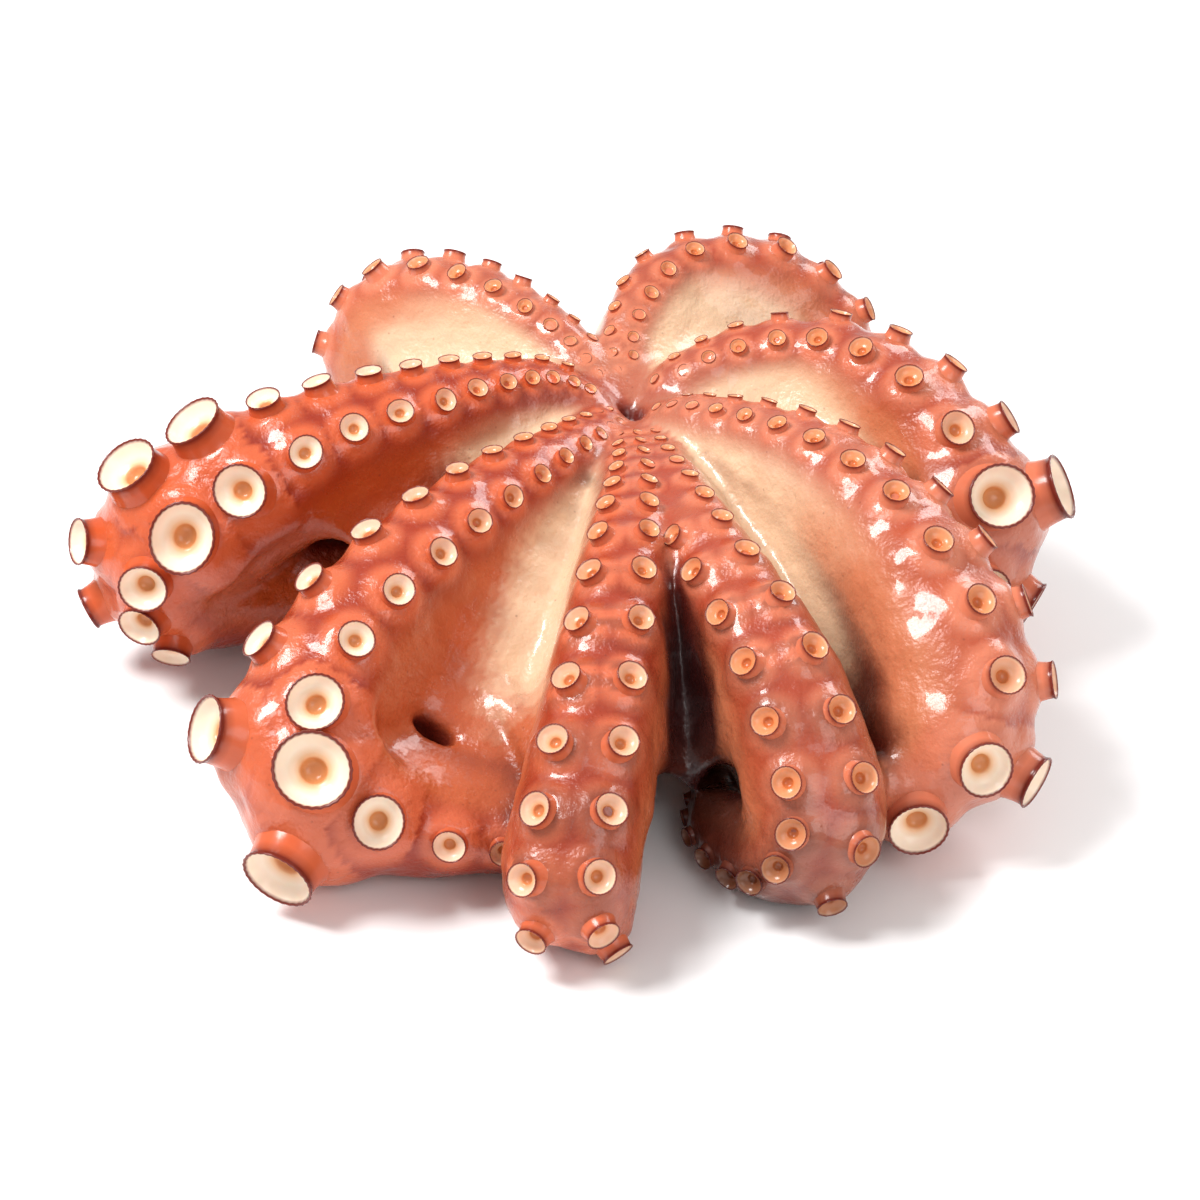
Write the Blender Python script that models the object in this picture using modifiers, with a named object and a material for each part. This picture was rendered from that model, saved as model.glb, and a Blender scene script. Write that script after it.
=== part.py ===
"""A whole cooked octopus, mouth side up.

Eight thick arms rise from the mouth, arch over and curl their tips in below.
Sheets of web join neighbouring arms, and the mantle lies hidden underneath.
Two rows of cup-shaped suckers run along every arm.
"""
import math

import bmesh
import bpy
import numpy as np
from mathutils import Matrix, Vector

MM = 0.001                      # the tables below are in millimetres, the scene is in metres
NAME = "octopus"

# --- driving dimensions, mm -----------------------------------------------------------------
MOUTH = (20.0, 56.0, 54.0)      # centre of the ring where the arms meet
MOUTH_RING = 9.0                # radius of that ring
STEP = 3.0                      # spacing of points along an arm
# an arm's radius at mouth, neck, crest, shoulder, bend, foot, tip and end, as shares of its girth
TAPER = (0.42, 0.52, 0.70, 0.92, 1.0, 0.84, 0.50, 0.24)
# how the sucker side turns about the arm: the places along it where the roll angles apply
ROLL_AT = (0.0, 0.35, 0.65, 1.0)

# Each arm: girth (radius at the bend), heading at the mouth in degrees, seven places it passes
# (neck, crest, shoulder, bend, foot, tip, end), roll angles, and its suckers:
# size and spacing against the usual, how much the largest are enlarged and where, angle between
# the rows, and where each row's first sucker sits.
ARMS = {
    "left": dict(
        girth=24.0, heading=160,
        places=((-9, 59, 62), (-52, 36, 66), (-88, 20, 59), (-120, 12, 37), (-106, 17, 22),
                (-72, 28, 24), (-44, 38, 26)),
        roll=(0, -6, -24, 40), size=1.12, spacing=0.90, swell=1.05, swell_at=0.55, fan=26, first=(10, 17)),
    "front_left": dict(
        girth=22.5, heading=222,
        places=((-4, 21, 62), (-40, -25, 62), (-65, -63, 48), (-71, -86, 29), (-48, -91, 18),
                (-7, -88, 14), (2, -64, 12)),
        roll=(-15, -20, 8, 55), size=1.08, spacing=1.06, swell=1.05, swell_at=0.65, fan=29, first=(8, 4)),
    "front": dict(
        girth=19.5, heading=262,
        places=((20, 4, 62), (17, -38, 63), (10, -88, 47), (2, -124, 21), (6, -112, 15),
                (12, -88, 12), (15, -64, 10)),
        roll=(4, 0, -3, 0), size=0.94, spacing=0.96, swell=0.0, swell_at=0.6, fan=24, first=(16, 10)),
    "front_right": dict(
        girth=20.0, heading=292,
        places=((32, 4, 62), (45, -39, 63), (62, -78, 50), (70, -104, 24), (62, -101, 14),
                (47, -86, 10), (43, -60, 9)),
        roll=(10, 19, 12, 0), size=0.88, spacing=0.92, swell=0.0, swell_at=0.6, fan=26, first=(10, 16)),
    "right_front": dict(
        girth=23.0, heading=330,
        places=((41, 38, 62), (76, 6, 67), (102, -36, 57), (111, -64, 36), (95, -70, 18),
                (72, -58, 15), (58, -38, 12)),
        roll=(4, -10, -32, -40), size=0.96, spacing=1.0, swell=1.0, swell_at=0.74, fan=24, first=(16, 10)),
    "right": dict(
        girth=19.5, heading=20,
        places=((40, 69, 63), (78, 71, 69), (109, 45, 62), (123, 21, 38), (112, 18, 18),
                (96, 27, 12), (74, 36, 12)),
        roll=(-2, -18, -28, -28), size=0.98, spacing=1.0, swell=1.15, swell_at=0.64, fan=27, first=(10, 16)),
    "back_right": dict(
        girth=16.5, heading=85,
        places=((18, 88, 63), (34, 118, 71), (66, 128, 63), (85, 124, 39), (74, 130, 15),
                (53, 134, 13), (55, 129, 30)),
        roll=(0, -25, -35, -35), size=0.84, spacing=0.80, swell=0.0, swell_at=0.6, fan=27, first=(12, 17)),
    "back_left": dict(
        girth=17.5, heading=118,
        places=((1, 83, 63), (-28, 105, 69), (-56, 120, 58), (-63, 118, 38), (-53, 123, 16),
                (-34, 130, 13), (-36, 126, 30)),
        roll=(0, 16, 20, 14), size=0.84, spacing=0.80, swell=0.0, swell_at=0.6, fan=27, first=(12, 17)),
}

# Suckers: diameter and spacing along an arm, at these shares of its length
SUCKER_AT = (0.0, 0.10, 0.26, 0.43, 0.60, 0.73, 0.88, 1.0)
SUCKER_WIDE = (3.0, 4.4, 6.6, 8.8, 10.0, 10.4, 7.0, 3.0)
SUCKER_APART = (5.5, 10.0, 16.0, 21.0, 21.0, 18.0, 10.0, 7.0)
SWELL_SPREAD = 0.07             # how far along the arm the enlargement reaches
SMALLEST = 5.8                  # narrower suckers are left to the visual model
LOWEST_RIM = 1.0                # suckers nearer to the ground than this are pressed flat
STALK = 0.62                    # height of a sucker against its width
SUNK = 6.0                      # how deep its foot is set in the arm, mm
CUP = 0.22                      # depth of its hollow against its width
WAIST = 0.80                    # width at its foot against its width
SIDES = 7

# Webs: the two arms, how far along each it reaches, how deep its valley hangs, mm,
# where the valley lies between them (0 to 1), and how far its edge is cut back
WEBS = (
    ("left", "front_left", 0.42, 0.42, 26.0, 0.5, 0.04),
    ("front_left", "front", 0.66, 0.58, 34.0, 0.66, 0.0),
    ("front", "front_right", 0.60, 0.60, 26.0, 0.5, 0.04),
    ("front_right", "right_front", 0.56, 0.60, 38.0, 0.5, 0.04),
    ("right_front", "right", 0.52, 0.54, 28.0, 0.5, 0.08),
    ("right", "back_right", 0.48, 0.50, 28.0, 0.5, 0.12),
    ("back_right", "back_left", 0.34, 0.34, 24.0, 0.5, 0.30),
    ("back_left", "left", 0.52, 0.46, 32.0, 0.5, 0.10),
)
WEB_THICK = 6.0
WEB_ROWS = 14
WEB_COLUMNS = 12

MANTLE_AT = (12.0, 32.0, 20.0)  # centre of the hidden mantle
MANTLE_RADII = (76.0, 70.0, 38.0)

VOXEL = 2.2                     # fineness of the fused skin
SKIN_FACES = 3000               # triangles kept for arms, webs and mantle
SHIFT = (-1.5, 0.7, 0.0)       # brings the finished box over the origin

SKIN_COLOUR = (0.50, 0.17, 0.10, 1.0)
SKIN_ROUGHNESS = 0.35


def clear_scene():
    for item in list(bpy.data.objects):
        bpy.data.objects.remove(item, do_unlink=True)


def collection(name):
    made = bpy.data.collections.new(name)
    bpy.context.scene.collection.children.link(made)
    return made


def skin_material():
    material = bpy.data.materials.new("octopus_skin")
    material.use_nodes = True
    shader = material.node_tree.nodes["Principled BSDF"]
    shader.inputs["Base Color"].default_value = SKIN_COLOUR
    shader.inputs["Roughness"].default_value = SKIN_ROUGHNESS
    shader.inputs["Metallic"].default_value = 0.0
    return material


def smooth_line(stations):
    """Points STEP apart on a centripetal Catmull-Rom curve, and their distance along it."""
    ends = np.vstack([2 * stations[0] - stations[1], stations, 2 * stations[-1] - stations[-2]])
    dense = []
    for a, b, c, d in zip(ends, ends[1:], ends[2:], ends[3:]):
        gaps = [math.sqrt(np.linalg.norm((q - p)[:3])) for p, q in ((a, b), (b, c), (c, d))]
        t0, t1, t2, t3 = np.cumsum([0.0] + gaps)
        for t in np.linspace(t1, t2, 40, endpoint=False):
            ab = a + (b - a) * (t - t0) / (t1 - t0)
            bc = b + (c - b) * (t - t1) / (t2 - t1)
            cd = c + (d - c) * (t - t2) / (t3 - t2)
            abc = ab + (bc - ab) * (t - t0) / (t2 - t0)
            bcd = bc + (cd - bc) * (t - t1) / (t3 - t1)
            dense.append(abc + (bcd - abc) * (t - t1) / (t2 - t1))
    dense = np.array(dense + [stations[-1]])
    along = np.concatenate([[0.0], np.cumsum(np.linalg.norm(np.diff(dense[:, :3], axis=0), axis=1))])
    spots = np.linspace(0.0, along[-1], int(along[-1] / STEP) + 1)
    return np.stack([np.interp(spots, along, dense[:, k]) for k in range(4)], axis=1), spots


def trace_arm(spec):
    """The arm's middle line, its radii, and the direction its suckers face at each point."""
    heading = math.radians(spec["heading"])
    root = np.array(MOUTH) + MOUTH_RING * np.array([math.cos(heading), math.sin(heading), 0.0])
    stations = np.column_stack([np.vstack([root, spec["places"]]), spec["girth"] * np.array(TAPER)])
    line, along = smooth_line(stations)
    points = line[:, :3]
    forward = np.gradient(points, axis=0)
    forward /= np.linalg.norm(forward, axis=1)[:, None]
    facing = []
    up = np.array([0.0, 0.0, 1.0])
    for direction in forward:
        up = up - direction * (direction @ up)
        up = up / np.linalg.norm(up)
        facing.append(up)
    facing = np.array(facing)
    across = np.cross(forward, facing)
    # the rows are spaced along the sucker side, which is the longer way round a bend
    outside = points + facing * line[:, 3:]
    outer = np.concatenate([[0.0], np.cumsum(np.linalg.norm(np.diff(outside, axis=0), axis=1))])
    roll = np.radians(np.interp(along / along[-1], ROLL_AT, spec["roll"]))[:, None]
    return dict(
        spec, points=points, radii=line[:, 3], along=along, outer=outer,
        facing=np.cos(roll) * facing + np.sin(roll) * across,
        across=np.cos(roll) * across - np.sin(roll) * facing)


def at(arm, key, distance):
    values = arm[key]
    if values.ndim == 1:
        return float(np.interp(distance, arm["along"], values))
    return np.array([np.interp(distance, arm["along"], values[:, k]) for k in range(3)])


def arm_tube(name, arm):
    """A round tube with the arm's radius at every point and a domed tip."""
    curve = bpy.data.curves.new(name, "CURVE")
    curve.dimensions = "3D"
    curve.bevel_depth = MM
    curve.bevel_resolution = 4
    curve.use_fill_caps = True
    spline = curve.splines.new("POLY")
    tip, heading, radius = arm["points"][-1], arm["points"][-1] - arm["points"][-2], arm["radii"][-1]
    heading = heading / np.linalg.norm(heading)
    dome = [(tip + heading * radius * math.sin(a), radius * math.cos(a)) for a in (0.5, 1.0, 1.4)]
    points = list(zip(arm["points"], arm["radii"])) + dome
    spline.points.add(len(points) - 1)
    for knot, (place, size) in zip(spline.points, points):
        knot.co = (*(place * MM), 1.0)
        knot.radius = float(size)
    tube = bpy.data.objects.new(name, curve)
    return tube


def web_sheet(first, second, reach_a, reach_b, depth, valley, cut_back):
    """A sheet lofted from one arm's middle line to the next one's, hanging in a valley."""
    rows = bmesh.new()
    lattice = []
    for i in range(WEB_ROWS + 1):
        line = []
        for j in range(WEB_COLUMNS + 1):
            across = j / WEB_COLUMNS
            out = i / WEB_ROWS * (1.0 - cut_back * 4.0 * across * (1.0 - across))
            a = at(first, "points", out * reach_a * first["along"][-1])
            b = at(second, "points", out * reach_b * second["along"][-1])
            side = across / valley if across < valley else (1.0 - across) / (1.0 - valley)
            sag = depth * out ** 1.3 * side ** 1.2
            place = a + (b - a) * across - np.array([0.0, 0.0, sag])
            line.append(rows.verts.new(Vector(place * MM)))
        lattice.append(line)
    for low, high in zip(lattice, lattice[1:]):
        for j in range(WEB_COLUMNS):
            rows.faces.new((low[j], low[j + 1], high[j + 1], high[j]))
    bmesh.ops.recalc_face_normals(rows, faces=rows.faces)
    mesh = bpy.data.meshes.new("web")
    rows.to_mesh(mesh)
    rows.free()
    sheet = bpy.data.objects.new("web", mesh)
    thick = sheet.modifiers.new("thickness", "SOLIDIFY")
    thick.thickness = WEB_THICK * MM
    thick.offset = 0.0
    return sheet


def mantle():
    """The bag of the body, lying flattened below the webs."""
    bpy.ops.mesh.primitive_uv_sphere_add(segments=48, ring_count=24, radius=MM)
    bag = bpy.context.object
    bag.scale = MANTLE_RADII
    bag.location = Vector(MANTLE_AT) * MM
    return bag


def as_mesh(item):
    """A plain mesh of an object with its curve bevel and modifiers worked out, in world space."""
    bpy.context.view_layer.update()
    seen = item.evaluated_get(bpy.context.evaluated_depsgraph_get())
    mesh = bpy.data.meshes.new_from_object(seen)
    mesh.transform(item.matrix_world)
    return mesh


def fuse(pieces, name, home):
    """One object holding the meshes of all the pieces, which are then removed."""
    both = bmesh.new()
    for piece in pieces:
        mesh = as_mesh(piece)
        both.from_mesh(mesh)
        bpy.data.meshes.remove(mesh)
        bpy.data.objects.remove(piece, do_unlink=True)
    mesh = bpy.data.meshes.new(name)
    both.to_mesh(mesh)
    both.free()
    fused = bpy.data.objects.new(name, mesh)
    home.objects.link(fused)
    return fused


def keep_outer_shell(item):
    """Removes the small shells of sealed pockets, so that the inside is solid."""
    shape = bmesh.new()
    shape.from_mesh(item.data)
    unseen = set(shape.verts)
    shells = []
    while unseen:
        edge = [unseen.pop()]
        shell = set(edge)
        while edge:
            near = {link.other_vert(vert) for vert in edge for link in vert.link_edges}
            edge = list(near & unseen)
            unseen -= near
            shell |= near
        shells.append(shell)
    outer = max(shells, key=len)
    bmesh.ops.delete(shape, geom=[vert for vert in shape.verts if vert not in outer], context="VERTS")
    shape.to_mesh(item.data)
    shape.free()


def skin(arms, home):
    """Arms, webs and mantle as one closed skin of few triangles."""
    pieces = [arm_tube(name, arm) for name, arm in arms.items()]
    pieces += [web_sheet(arms[a], arms[b], *rest) for a, b, *rest in WEBS]
    for piece in pieces:
        home.objects.link(piece)
    body = fuse(pieces + [mantle()], "skin", home)
    remesh = body.modifiers.new("one skin", "REMESH")
    remesh.mode = "VOXEL"
    remesh.voxel_size = VOXEL * MM
    relax = body.modifiers.new("soften", "SMOOTH")
    relax.factor = 0.5
    relax.iterations = 4
    faces = 2 * len(as_mesh(body).polygons)
    thin = body.modifiers.new("fewer faces", "DECIMATE")
    thin.ratio = SKIN_FACES / faces
    body = fuse([body], NAME, home)
    keep_outer_shell(body)
    return body


def sucker_width(arm, share):
    swell = arm["swell"] * math.exp(-((share - arm["swell_at"]) / SWELL_SPREAD) ** 2)
    return arm["size"] * float(np.interp(share, SUCKER_AT, SUCKER_WIDE)) * (1.0 + 0.95 * swell)


def sucker_gap(arm, share):
    swell = arm["swell"] * math.exp(-((share - arm["swell_at"]) / (1.3 * SWELL_SPREAD)) ** 2)
    return arm["spacing"] * float(np.interp(share, SUCKER_AT, SUCKER_APART)) * (1.0 + 0.25 * swell)


def sucker_places(arm):
    """Where each sucker's foot is, which way it faces and how wide it is."""
    length = arm["along"][-1]
    for side, first in zip((-1, 1), arm["first"]):
        distance = float(first)
        while distance < length:
            share = distance / length
            spread = math.radians(arm["fan"]) * side * min(1.0, 0.55 + 1.8 * share)
            facing = math.cos(spread) * at(arm, "facing", distance) + math.sin(spread) * at(arm, "across", distance)
            foot = at(arm, "points", distance) + facing * at(arm, "radii", distance)
            yield Vector(foot), Vector(facing), sucker_width(arm, share)
            further = at(arm, "outer", distance) + sucker_gap(arm, share)
            distance = float(np.interp(further, arm["outer"], arm["along"], right=length))


def suckers(arms, home):
    """Every sucker as a short flared stub with a hollow top, all in one object."""
    cups = bmesh.new()
    placed = []
    for arm in arms.values():
        for foot, facing, wide in sucker_places(arm):
            lowest = foot.z + facing.z * STALK * wide - wide / 2
            rim = foot + facing * STALK * wide
            crowded = any((rim - other).length < (wide + width) / 2 for other, width in placed)
            if wide < SMALLEST or lowest < LOWEST_RIM or crowded:
                continue
            placed.append((rim, wide))
            tall = STALK * wide + SUNK
            turn = Vector((0, 0, 1)).rotation_difference(facing).to_matrix().to_4x4()
            middle = foot + facing * (tall / 2 - SUNK)
            made = bmesh.ops.create_cone(
                cups, cap_ends=True, segments=SIDES, radius1=WAIST * wide / 2 * MM, radius2=wide / 2 * MM,
                depth=tall * MM, matrix=Matrix.Translation(middle * MM) @ turn)
            ends = {face for vert in made["verts"] for face in vert.link_faces if len(face.verts) == SIDES}
            top = max(ends, key=lambda face: face.calc_center_median() @ facing)
            bmesh.ops.poke(cups, faces=[top], offset=-CUP * wide * MM)
    mesh = bpy.data.meshes.new("suckers")
    cups.normal_update()
    cups.to_mesh(mesh)
    cups.free()
    made = bpy.data.objects.new("suckers", mesh)
    home.objects.link(made)
    return made


def floor_cutter(home):
    """A block whose top is the ground, to give the arms and mantle flat resting spots."""
    bpy.ops.mesh.primitive_cube_add(size=1.0)
    block = bpy.context.object
    block.name = "ground"
    block.scale = (0.5, 0.5, 0.1)
    block.location = (0.0, 0.0, -0.05)
    for old in block.users_collection:
        old.objects.unlink(block)
    home.objects.link(block)
    return block


def combine(target, cutter, operation):
    change = target.modifiers.new(cutter.name, "BOOLEAN")
    change.operation = operation
    change.solver = "EXACT"
    change.object = cutter
    cutter.hide_render = True
    cutter.display_type = "WIRE"
    return change


def main():
    clear_scene()
    parts = collection(NAME)
    cutters = collection("cutters")
    arms = {name: trace_arm(spec) for name, spec in ARMS.items()}
    octopus = skin(arms, parts)
    octopus.data.materials.clear()
    octopus.data.materials.append(skin_material())
    cups = suckers(arms, cutters)
    for item in (octopus, cups):
        item.location = Vector(SHIFT) * MM
    combine(octopus, cups, "UNION").use_self = True
    combine(octopus, floor_cutter(cutters), "DIFFERENCE")


main()
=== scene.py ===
# %% [markdown]
# # A whole cooked octopus
# The octopus lies mouth side up. Eight thick arms rise from the mouth, arch over and curl in
# below, sheets of web join them, and two rows of cup-shaped suckers run along each arm.
# The CAD model already gives its size and place. This lesson builds the skin and the suckers
# that are seen, finishes them, and lights them.

import math

import bmesh
import bpy
import numpy as np
import openvdb
from mathutils import Matrix, Vector, kdtree, noise


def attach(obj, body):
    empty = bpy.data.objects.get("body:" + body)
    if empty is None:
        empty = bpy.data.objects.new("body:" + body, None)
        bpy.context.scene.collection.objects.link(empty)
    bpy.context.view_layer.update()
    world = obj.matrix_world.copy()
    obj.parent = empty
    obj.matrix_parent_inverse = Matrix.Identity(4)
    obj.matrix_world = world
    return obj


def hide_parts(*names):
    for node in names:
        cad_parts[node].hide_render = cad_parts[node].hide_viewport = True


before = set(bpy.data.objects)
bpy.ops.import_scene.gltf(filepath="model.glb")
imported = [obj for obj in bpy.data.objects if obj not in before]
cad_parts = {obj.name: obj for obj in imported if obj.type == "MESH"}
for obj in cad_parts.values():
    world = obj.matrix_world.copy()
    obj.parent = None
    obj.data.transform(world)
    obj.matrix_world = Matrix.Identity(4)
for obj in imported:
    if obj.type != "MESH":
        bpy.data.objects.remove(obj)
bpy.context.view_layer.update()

# %% [markdown]
# ## The eight arms
# An arm is a tube that tapers, so each needs only a few places that it passes, its girth and the
# way it leaves the mouth. A smooth curve through the places gives the rest. The table is in
# millimetres, as on a maker's drawing, and one number turns millimetres into Blender's metres.
# `roll` turns the sucker side about the arm. `swell` enlarges a few suckers, as on a male.

# %% Driving dimensions, mm
MM = 0.001
SHIFT = np.array([-1.5, 0.7, 0.0])
MOUTH = np.array([20.0, 56.0, 54.0])
MOUTH_RING = 9.0
TAPER = (0.42, 0.52, 0.70, 0.92, 1.0, 0.84, 0.50, 0.24)
ROLL_AT = (0.0, 0.35, 0.65, 1.0)
STEP = 2.0

ARMS = {
    "left": dict(
        girth=24.0, heading=160,
        places=((-9, 59, 62), (-52, 36, 66), (-88, 20, 59), (-120, 12, 37), (-106, 17, 22),
                (-72, 28, 24), (-44, 38, 26)),
        roll=(0, -6, -24, 40), size=1.12, spacing=0.90, swell=1.05, swell_at=0.55, fan=26, first=(10, 17),
        warmth=1.00),
    "front_left": dict(
        girth=22.5, heading=222,
        places=((-4, 21, 62), (-40, -25, 62), (-65, -63, 48), (-71, -86, 29), (-48, -91, 18),
                (-7, -88, 14), (2, -64, 12)),
        roll=(-15, -20, 8, 55), size=1.08, spacing=1.06, swell=1.05, swell_at=0.65, fan=29, first=(8, 4),
        warmth=0.85),
    "front": dict(
        girth=19.5, heading=262,
        places=((20, 4, 62), (17, -38, 63), (10, -88, 47), (2, -124, 21), (6, -112, 15),
                (12, -88, 12), (15, -64, 10)),
        roll=(4, 0, -3, 0), size=0.94, spacing=0.96, swell=0.0, swell_at=0.6, fan=24, first=(16, 10),
        warmth=0.70),
    "front_right": dict(
        girth=20.0, heading=292,
        places=((32, 4, 62), (45, -39, 63), (62, -78, 50), (70, -104, 24), (62, -101, 14),
                (47, -86, 10), (43, -60, 9)),
        roll=(10, 19, 12, 0), size=0.88, spacing=0.92, swell=0.0, swell_at=0.6, fan=26, first=(10, 16),
        warmth=0.40),
    "right_front": dict(
        girth=23.0, heading=330,
        places=((41, 38, 62), (76, 6, 67), (102, -36, 57), (111, -64, 36), (95, -70, 18),
                (72, -58, 15), (58, -38, 12)),
        roll=(4, -10, -32, -40), size=0.96, spacing=1.0, swell=1.0, swell_at=0.74, fan=24, first=(16, 10),
        warmth=0.25),
    "right": dict(
        girth=19.5, heading=20,
        places=((40, 69, 63), (78, 71, 69), (109, 45, 62), (123, 21, 38), (112, 18, 18),
                (96, 27, 12), (74, 36, 12)),
        roll=(-2, -18, -28, -28), size=0.98, spacing=1.0, swell=1.15, swell_at=0.64, fan=27, first=(10, 16),
        warmth=0.45),
    "back_right": dict(
        girth=16.5, heading=85,
        places=((18, 88, 63), (34, 118, 71), (66, 128, 63), (85, 124, 39), (74, 130, 15),
                (53, 134, 13), (55, 129, 30)),
        roll=(0, -25, -35, -35), size=0.84, spacing=0.80, swell=0.0, swell_at=0.6, fan=27, first=(12, 17),
        warmth=0.50),
    "back_left": dict(
        girth=17.5, heading=118,
        places=((1, 83, 63), (-28, 105, 69), (-56, 120, 58), (-63, 118, 38), (-53, 123, 16),
                (-34, 130, 13), (-36, 126, 30)),
        roll=(0, 16, 20, 14), size=0.84, spacing=0.80, swell=0.0, swell_at=0.6, fan=27, first=(12, 17),
        warmth=0.30),
}


# %% [markdown]
# ## A smooth line through a few places
# A Catmull-Rom curve passes through every place it is given. Its "centripetal" form, which uses
# the square root of each gap, doesn't overshoot where the places are unevenly spread, as they are
# at the tight bend of an arm. The radius rides along as a fourth coordinate.

# %% Trace an arm
def smooth_line(stations, step):
    ends = np.vstack([2 * stations[0] - stations[1], stations, 2 * stations[-1] - stations[-2]])
    dense = []
    for a, b, c, d in zip(ends, ends[1:], ends[2:], ends[3:]):
        gaps = [math.sqrt(np.linalg.norm((q - p)[:3])) for p, q in ((a, b), (b, c), (c, d))]
        t0, t1, t2, t3 = np.cumsum([0.0] + gaps)
        for t in np.linspace(t1, t2, 40, endpoint=False):
            ab = a + (b - a) * (t - t0) / (t1 - t0)
            bc = b + (c - b) * (t - t1) / (t2 - t1)
            cd = c + (d - c) * (t - t2) / (t3 - t2)
            abc = ab + (bc - ab) * (t - t0) / (t2 - t0)
            bcd = bc + (cd - bc) * (t - t1) / (t3 - t1)
            dense.append(abc + (bcd - abc) * (t - t1) / (t2 - t1))
    dense = np.array(dense + [stations[-1]])
    along = np.concatenate([[0.0], np.cumsum(np.linalg.norm(np.diff(dense[:, :3], axis=0), axis=1))])
    spots = np.linspace(0.0, along[-1], int(along[-1] / step) + 1)
    return np.stack([np.interp(spots, along, dense[:, k]) for k in range(dense.shape[1])], axis=1), spots


def trace_arm(spec):
    heading = math.radians(spec["heading"])
    root = MOUTH + MOUTH_RING * np.array([math.cos(heading), math.sin(heading), 0.0])
    stations = np.column_stack([np.vstack([root, spec["places"]]), spec["girth"] * np.array(TAPER)])
    line, along = smooth_line(stations, STEP)
    points = line[:, :3] + SHIFT
    forward = np.gradient(points, axis=0)
    forward /= np.linalg.norm(forward, axis=1)[:, None]
    facing = []
    up = np.array([0.0, 0.0, 1.0])
    for direction in forward:
        up = up - direction * (direction @ up)
        up = up / np.linalg.norm(up)
        facing.append(up)
    facing = np.array(facing)
    across = np.cross(forward, facing)
    # the rows are spaced along the sucker side, which is the longer way round a bend
    outside = points + facing * line[:, 3:]
    outer = np.concatenate([[0.0], np.cumsum(np.linalg.norm(np.diff(outside, axis=0), axis=1))])
    roll = np.radians(np.interp(along / along[-1], ROLL_AT, spec["roll"]))[:, None]
    return dict(
        spec, points=points, radii=line[:, 3], along=along, outer=outer, forward=forward,
        facing=np.cos(roll) * facing + np.sin(roll) * across,
        across=np.cos(roll) * across - np.sin(roll) * facing)


def at(arm, key, distance):
    values = arm[key]
    if values.ndim == 1:
        return float(np.interp(distance, arm["along"], values))
    return np.array([np.interp(distance, arm["along"], values[:, k]) for k in range(3)])


arms = {name: trace_arm(spec) for name, spec in ARMS.items()}
print("arm lengths, mm:", {name: round(arm["along"][-1]) for name, arm in arms.items()})

# %% [markdown]
# ## Where the suckers sit
# Suckers stand in two rows, left and right of the arm's middle line. They are tiny at the mouth,
# widest near the bend and tiny again at the tip, so their width and spacing are read from two
# short lists. A sucker that would sink into its neighbour or into the ground is left out.

# %% Place the suckers
SUCKER_AT = (0.0, 0.10, 0.26, 0.43, 0.60, 0.73, 0.88, 1.0)
SUCKER_WIDE = (3.0, 4.4, 6.6, 8.8, 10.0, 10.4, 7.0, 3.0)
SUCKER_APART = (5.5, 10.0, 16.0, 21.0, 21.0, 18.0, 10.0, 7.0)
SWELL_SPREAD = 0.07
STALK = 0.62


def sucker_width(arm, share):
    swell = arm["swell"] * math.exp(-((share - arm["swell_at"]) / SWELL_SPREAD) ** 2)
    return arm["size"] * float(np.interp(share, SUCKER_AT, SUCKER_WIDE)) * (1.0 + 0.95 * swell)


def sucker_gap(arm, share):
    swell = arm["swell"] * math.exp(-((share - arm["swell_at"]) / (1.3 * SWELL_SPREAD)) ** 2)
    return arm["spacing"] * float(np.interp(share, SUCKER_AT, SUCKER_APART)) * (1.0 + 0.25 * swell)


def place_suckers(arms):
    placed = []
    for name, arm in arms.items():
        length = arm["along"][-1]
        for side, first in zip((-1, 1), arm["first"]):
            distance = float(first)
            while distance < length:
                share = distance / length
                wide = sucker_width(arm, share)
                spread = math.radians(arm["fan"]) * side * min(1.0, 0.55 + 1.8 * share)
                facing = (math.cos(spread) * at(arm, "facing", distance)
                          + math.sin(spread) * at(arm, "across", distance))
                foot = at(arm, "points", distance) + facing * at(arm, "radii", distance)
                rim = foot + facing * STALK * wide
                crowded = any(np.linalg.norm(rim - other["rim"]) < 0.5 * (wide + other["wide"])
                              for other in placed)
                if rim[2] - wide / 2 > 0.5 and not crowded:
                    placed.append(dict(arm=name, share=share, foot=foot, rim=rim, facing=facing, wide=wide))
                further = at(arm, "outer", distance) + sucker_gap(arm, share)
                distance = float(np.interp(further, arm["outer"], arm["along"], right=length))
    return placed


suckers = place_suckers(arms)
print(len(suckers), "suckers,", round(min(s["wide"] for s in suckers), 1), "to",
      round(max(s["wide"] for s in suckers), 1), "mm wide")

# %% [markdown]
# ## Rough shapes for the skin
# The skin could be sculpted or drawn as one cage, but it is easier to see it as simple shapes
# that are melted together: a tube for each arm, a hanging sheet for each web, a flattened ball for
# the mantle below, and a stub under each sucker. Each is an ordinary Blender object first.

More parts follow.
